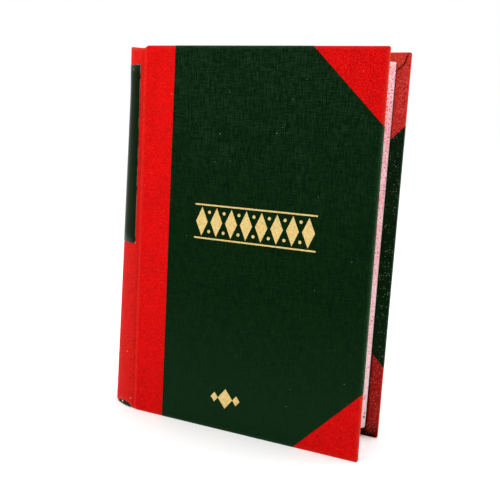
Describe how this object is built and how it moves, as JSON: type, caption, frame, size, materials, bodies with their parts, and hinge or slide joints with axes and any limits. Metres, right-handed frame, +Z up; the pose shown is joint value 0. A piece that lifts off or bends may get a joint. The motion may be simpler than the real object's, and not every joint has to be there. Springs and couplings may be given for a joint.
{
  "type": "half-bound record book",
  "caption": "Upright half-bound hardcover record book: rounded cloth spine with a long label, contrasting cloth corners and sides, sewn leaves; its covers and outer leaves swing open.",
  "frame": {"origin": "on the surface the book stands on, under the middle of its outer box", "axes": "+Z up along the spine, front cover facing -Y, spine at -X and fore-edge at +X"},
  "size_m": [0.2626, 0.0651, 0.35],
  "materials": {
    "red_cloth": "matte",
    "green_cloth": "satin",
    "greyboard": "matte",
    "leaf_paper": "matte",
    "endpaper": "matte",
    "gilt": "satin",
    "label": "satin",
    "tape": "matte",
    "thread": "matte",
    "mull": "matte",
    "lining_paper": "matte",
    "band": "satin"
  },
  "bodies": {
    "text_block": {"section_02": "leaf_paper", "section_03": "leaf_paper", "section_04": "leaf_paper", "section_05": "leaf_paper", "section_06": "leaf_paper", "section_07": "leaf_paper", "section_08": "leaf_paper", "section_09": "leaf_paper", "section_10": "leaf_paper", "section_11": "leaf_paper", "section_12": "leaf_paper", "section_13": "leaf_paper", "section_14": "leaf_paper", "section_15": "leaf_paper", "section_16": "leaf_paper", "section_17": "leaf_paper", "section_18": "leaf_paper", "section_19": "leaf_paper", "section_20": "leaf_paper", "section_21": "leaf_paper", "section_22": "leaf_paper", "section_23": "leaf_paper", "section_24": "leaf_paper", "sewing_tapes": "tape", "sewing_thread": "thread", "mull": "mull", "spine_lining": "lining_paper", "head_band": "band", "tail_band": "band", "spine_card": "greyboard", "spine_cloth": "red_cloth", "spine_label": "label", "front_joint_cloth": "red_cloth", "back_joint_cloth": "red_cloth"},
    "front_cover": {"front_board": "greyboard", "front_side_cloth": "green_cloth", "front_spine_strip": "red_cloth", "front_head_corner": "red_cloth", "front_tail_corner": "red_cloth", "front_pastedown": "endpaper", "front_gilt": "gilt"},
    "front_endleaf": {"front_flyleaf": "endpaper"},
    "front_turning_leaf_3": {"front_leaf_3": "leaf_paper"},
    "front_turning_leaf_2": {"front_leaf_2": "leaf_paper"},
    "front_turning_leaf_1": {"front_leaf_1": "leaf_paper"},
    "front_outer_section": {"section_01": "leaf_paper"},
    "back_cover": {"back_board": "greyboard", "back_side_cloth": "green_cloth", "back_spine_strip": "red_cloth", "back_head_corner": "red_cloth", "back_tail_corner": "red_cloth", "back_pastedown": "endpaper"},
    "back_endleaf": {"back_flyleaf": "endpaper"},
    "back_turning_leaf_3": {"back_leaf_3": "leaf_paper"},
    "back_turning_leaf_2": {"back_leaf_2": "leaf_paper"},
    "back_turning_leaf_1": {"back_leaf_1": "leaf_paper"},
    "back_outer_section": {"section_25": "leaf_paper"}
  },
  "joints": [
    {"name": "front_leaves_turn", "type": "hinge", "parent": "text_block", "child": "front_endleaf", "pos_m": [-0.09955, -0.03215, 0.175], "axis": [0, 0, -1], "range_deg": [0, 60]},
    {"name": "front_leaf_3_turn", "type": "hinge", "parent": "text_block", "child": "front_turning_leaf_3", "pos_m": [-0.09955, -0.03215, 0.175], "axis": [0, 0, -1], "range_deg": [0, 48]},
    {"name": "front_leaf_2_turn", "type": "hinge", "parent": "text_block", "child": "front_turning_leaf_2", "pos_m": [-0.09955, -0.03215, 0.175], "axis": [0, 0, -1], "range_deg": [0, 36]},
    {"name": "front_leaf_1_turn", "type": "hinge", "parent": "text_block", "child": "front_turning_leaf_1", "pos_m": [-0.09955, -0.03215, 0.175], "axis": [0, 0, -1], "range_deg": [0, 27]},
    {"name": "front_section_turn", "type": "hinge", "parent": "text_block", "child": "front_outer_section", "pos_m": [-0.09914, -0.02664, 0.175], "axis": [0, 0, -1], "range_deg": [0, 18]},
    {"name": "front_cover_hinge", "type": "hinge", "parent": "front_endleaf", "child": "front_cover", "pos_m": [-0.09955, -0.03215, 0.175], "axis": [0, 0, -1], "range_deg": [0, 120], "deforming": ["front_joint_cloth"]},
    {"name": "back_leaves_turn", "type": "hinge", "parent": "text_block", "child": "back_endleaf", "pos_m": [-0.09955, 0.03215, 0.175], "axis": [0, 0, 1], "range_deg": [0, 60]},
    {"name": "back_leaf_3_turn", "type": "hinge", "parent": "text_block", "child": "back_turning_leaf_3", "pos_m": [-0.09955, 0.03215, 0.175], "axis": [0, 0, 1], "range_deg": [0, 48]},
    {"name": "back_leaf_2_turn", "type": "hinge", "parent": "text_block", "child": "back_turning_leaf_2", "pos_m": [-0.09955, 0.03215, 0.175], "axis": [0, 0, 1], "range_deg": [0, 36]},
    {"name": "back_leaf_1_turn", "type": "hinge", "parent": "text_block", "child": "back_turning_leaf_1", "pos_m": [-0.09955, 0.03215, 0.175], "axis": [0, 0, 1], "range_deg": [0, 27]},
    {"name": "back_section_turn", "type": "hinge", "parent": "text_block", "child": "back_outer_section", "pos_m": [-0.09914, 0.02664, 0.175], "axis": [0, 0, 1], "range_deg": [0, 18]},
    {"name": "back_cover_hinge", "type": "hinge", "parent": "back_endleaf", "child": "back_cover", "pos_m": [-0.09955, 0.03215, 0.175], "axis": [0, 0, 1], "range_deg": [0, 120], "deforming": ["back_joint_cloth"]}
  ],
  "couplings": [
    {"joint": "front_leaf_3_turn", "follows": "front_leaves_turn", "ratio": 0.8},
    {"joint": "front_leaf_2_turn", "follows": "front_leaves_turn", "ratio": 0.6},
    {"joint": "front_leaf_1_turn", "follows": "front_leaves_turn", "ratio": 0.45},
    {"joint": "front_section_turn", "follows": "front_leaves_turn", "ratio": 0.3},
    {"joint": "back_leaf_3_turn", "follows": "back_leaves_turn", "ratio": 0.8},
    {"joint": "back_leaf_2_turn", "follows": "back_leaves_turn", "ratio": 0.6},
    {"joint": "back_leaf_1_turn", "follows": "back_leaves_turn", "ratio": 0.45},
    {"joint": "back_section_turn", "follows": "back_leaves_turn", "ratio": 0.3}
  ]
}
